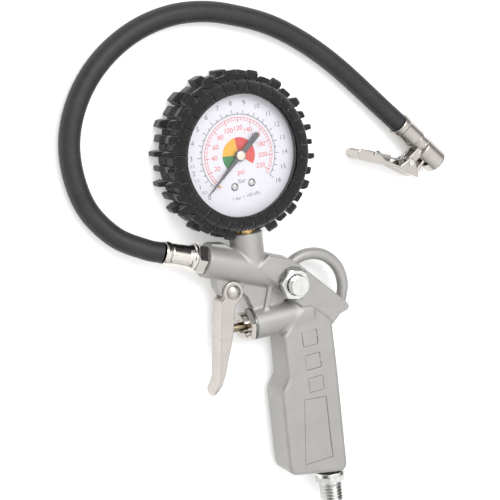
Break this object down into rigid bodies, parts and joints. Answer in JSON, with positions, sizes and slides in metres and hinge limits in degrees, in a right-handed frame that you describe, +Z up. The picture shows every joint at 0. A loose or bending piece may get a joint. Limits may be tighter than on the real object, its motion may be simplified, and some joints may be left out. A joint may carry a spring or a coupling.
{
  "type": "portable tire inflator",
  "caption": "Pistol-grip tire inflator with a dial pressure gauge in a rubber boot, a trigger valve, a bleed button and a short hose with a clip-on chuck.",
  "frame": {"origin": "bottom centre of the box around the gun and gauge, on the table it lies on, without the hose and what is on it", "axes": "+Z up from the table and square to the gauge's face, +Y from the air inlet to the gauge, +X from the muzzle side to the rear of the grip"},
  "size_m": [0.2208, 0.2779, 0.0302],
  "materials": {
    "cast_grey": "satin",
    "bright_steel": "polished",
    "nickel": "polished",
    "satin_nickel": "satin",
    "dark_steel": "satin",
    "spring_steel": "satin",
    "brass": "machined",
    "black_rubber": "matte",
    "boot_rubber": "matte",
    "hose_rubber": "matte",
    "case_black": "matte",
    "lens_clear": "polished",
    "dial_white": "satin",
    "pointer_grey": "matte",
    "cap_cream": "gloss"
  },
  "bodies": {
    "gun": {"gun_body": "cast_grey", "inlet_fitting": "bright_steel", "inlet_washer": "black_rubber", "valve_cap": "nickel", "cap_washer": "dark_steel", "stem_seal": "black_rubber", "valve_spring": "spring_steel", "trigger_pin": "satin_nickel", "bleed_body": "bright_steel", "bleed_washer": "dark_steel", "bleed_spring": "spring_steel", "rubber_boot": "boot_rubber", "gauge_case": "case_black", "bezel": "case_black", "lens_gasket": "black_rubber", "lens": "lens_clear", "dial": "dial_white", "dial_screws": "bright_steel", "stop_pin": "brass", "hairspring": "brass", "movement_plates": "brass", "bourdon_tube": "brass", "gauge_socket": "brass", "hose_nipple": "nickel", "gun_ferrule": "nickel", "hose": "hose_rubber", "chuck_ferrule": "satin_nickel", "chuck_body": "satin_nickel", "chuck_seal": "black_rubber", "core_depressor": "brass", "chuck_pin": "bright_steel", "chuck_spring": "spring_steel"},
    "trigger": {"trigger_lever": "satin_nickel"},
    "inlet_valve": {"valve_stem": "brass", "valve_poppet": "black_rubber"},
    "release": {"release_button": "bright_steel", "bleed_poppet": "black_rubber"},
    "needle": {"pointer": "pointer_grey", "pointer_cap": "cap_cream", "arbor": "brass"},
    "sector": {"sector_gear": "brass"},
    "gauge_link": {"link": "brass"},
    "clip": {"chuck_lever": "satin_nickel"}
  },
  "joints": [
    {"name": "trigger_pull", "type": "hinge", "parent": "gun", "child": "trigger", "pos_m": [-0.0173, 0.0092, 0.0125], "axis": [0, 0, 1], "range_deg": [0, 12], "stiffness_Nm_per_rad": 0.6, "springref_deg": -11.46},
    {"name": "valve_push", "type": "slide", "parent": "gun", "child": "inlet_valve", "axis": [1, 0, 0], "range_m": [0, 0.0044], "deforming": ["valve_spring"]},
    {"name": "release_press", "type": "slide", "parent": "gun", "child": "release", "axis": [0, 0, -1], "range_m": [0, 0.0024], "stiffness_N_per_m": 900, "springref_m": -0.002, "deforming": ["bleed_spring"]},
    {"name": "needle_sweep", "type": "hinge", "parent": "gun", "child": "needle", "pos_m": [-0.0044, 0.078, 0.0125], "axis": [0, 0, 1], "range_deg": [-262, 0]},
    {"name": "sector_turn", "type": "hinge", "parent": "gun", "child": "sector", "pos_m": [0.0024, 0.06622, 0.0125], "axis": [0, 0, 1], "range_deg": [0, 32.8]},
    {"name": "link_turn", "type": "hinge", "parent": "sector", "child": "gauge_link", "pos_m": [0.0049, 0.06189, 0.0125], "axis": [0, 0, 1], "range_deg": [-43.3, 0]},
    {"name": "clip_lever", "type": "hinge", "parent": "gun", "child": "clip", "pos_m": [0.1014, 0.05678, 0.007], "axis": [0, 0, 1], "range_deg": [-18, 0], "stiffness_Nm_per_rad": 0.15, "springref_deg": 17.19, "deforming": ["chuck_spring"]}
  ],
  "couplings": [
    {"joint": "valve_push", "follows": "trigger_pull", "m_per_rad": 0.0202},
    {"joint": "sector_turn", "follows": "needle_sweep", "ratio": -0.125},
    {"joint": "link_turn", "follows": "needle_sweep", "ratio": 0.165}
  ]
}
